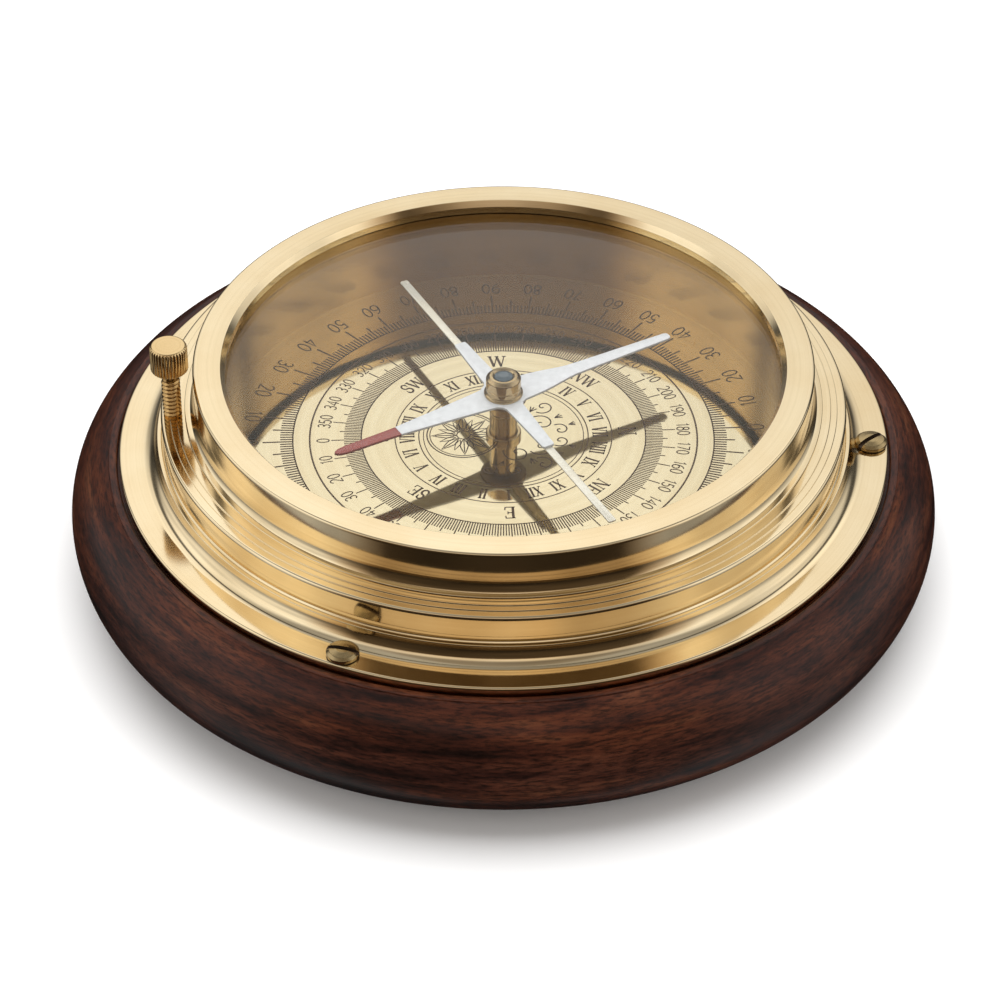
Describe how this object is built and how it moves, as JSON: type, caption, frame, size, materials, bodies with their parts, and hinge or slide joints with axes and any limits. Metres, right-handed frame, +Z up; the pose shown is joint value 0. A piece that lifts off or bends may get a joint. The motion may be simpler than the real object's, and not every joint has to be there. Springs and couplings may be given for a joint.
{
  "type": "desk sighting compass",
  "caption": "Glazed brass compass with a reversed engraved dial, a free-swinging four-arm needle and a screw-operated needle lock, on a round polished wooden base.",
  "frame": {"origin": "centre of the underside, on the surface that the compass stands on", "axes": "+Z up along the compass's axis, -Y towards the viewer, the lock screw near -X"},
  "size_m": [0.15, 0.15, 0.048],
  "materials": {
    "rosewood": "dark red-brown, figured, high gloss lacquer",
    "felt": "dark green wool felt",
    "polished_brass": "turned and polished, lacquered",
    "screw_brass": "plain machined, lightly tarnished",
    "turned_brass": "fine turned, satin",
    "dial_brass": "polished and lacquered, with dark filled engraving",
    "needle_white": "white enamel with a red tip",
    "bright_strip": "bright polished strip",
    "jewel": "polished grey stone",
    "steel": "hardened and ground",
    "gasket": "thin black ring",
    "glass": "clear flat polished glass"
  },
  "bodies": {
    "case": {"wood_base": "rosewood", "felt_pad": "felt", "flange_body": "polished_brass", "flange_screws": "screw_brass", "bezel_ring": "polished_brass", "glass_gasket": "gasket", "cover_glass": "glass", "glass_retaining_ring": "polished_brass", "dial_plate": "dial_brass", "guide_bush": "turned_brass", "bush_nut": "turned_brass", "pivot_stem": "turned_brass", "pivot_point": "steel", "stem_bridge": "turned_brass", "stem_nut": "turned_brass", "bridge_pillars": "turned_brass", "bridge_screws": "screw_brass", "lever_bracket": "turned_brass", "bracket_screws": "screw_brass", "lever_pin": "steel", "return_spring": "steel"},
    "needle": {"needle_plate": "needle_white", "cross_strip": "bright_strip", "hub_washer": "bright_strip", "pivot_cap": "turned_brass", "cap_jewel": "jewel"},
    "screw_pad": {"thrust_pad": "turned_brass"},
    "lock_screw": {"lock_screw": "turned_brass"},
    "lever": {"arrest_lever": "turned_brass"},
    "sleeve": {"lift_sleeve": "turned_brass"}
  },
  "joints": [
    {"name": "needle_swing", "type": "hinge", "parent": "case", "child": "needle", "pos_m": [0, 0, 0.0365], "axis": [0, 0, 1], "continuous": true},
    {"name": "screw_travel", "type": "slide", "parent": "case", "child": "screw_pad", "axis": [0, 0, -1], "range_m": [0, 0.0007]},
    {"name": "screw_turn", "type": "hinge", "parent": "screw_pad", "child": "lock_screw", "pos_m": [-0.05619, -0.00492, 0.04], "axis": [0, 0, -1], "range_deg": [0, 321.3]},
    {"name": "lever_tilt", "type": "hinge", "parent": "case", "child": "lever", "pos_m": [-0.02192, -0.00192, 0.0175], "axis": [0.0872, -0.9962, 0], "range_deg": [0, 1.19]},
    {"name": "sleeve_lift", "type": "slide", "parent": "case", "child": "sleeve", "axis": [0, 0, 1], "range_m": [0, 0.0004566], "deforming": ["return_spring"]}
  ],
  "couplings": [
    {"joint": "screw_turn", "follows": "screw_travel", "rad_per_m": 7854},
    {"joint": "lever_tilt", "follows": "screw_travel", "rad_per_m": 29.07},
    {"joint": "sleeve_lift", "follows": "screw_travel", "ratio": 0.63953}
  ]
}
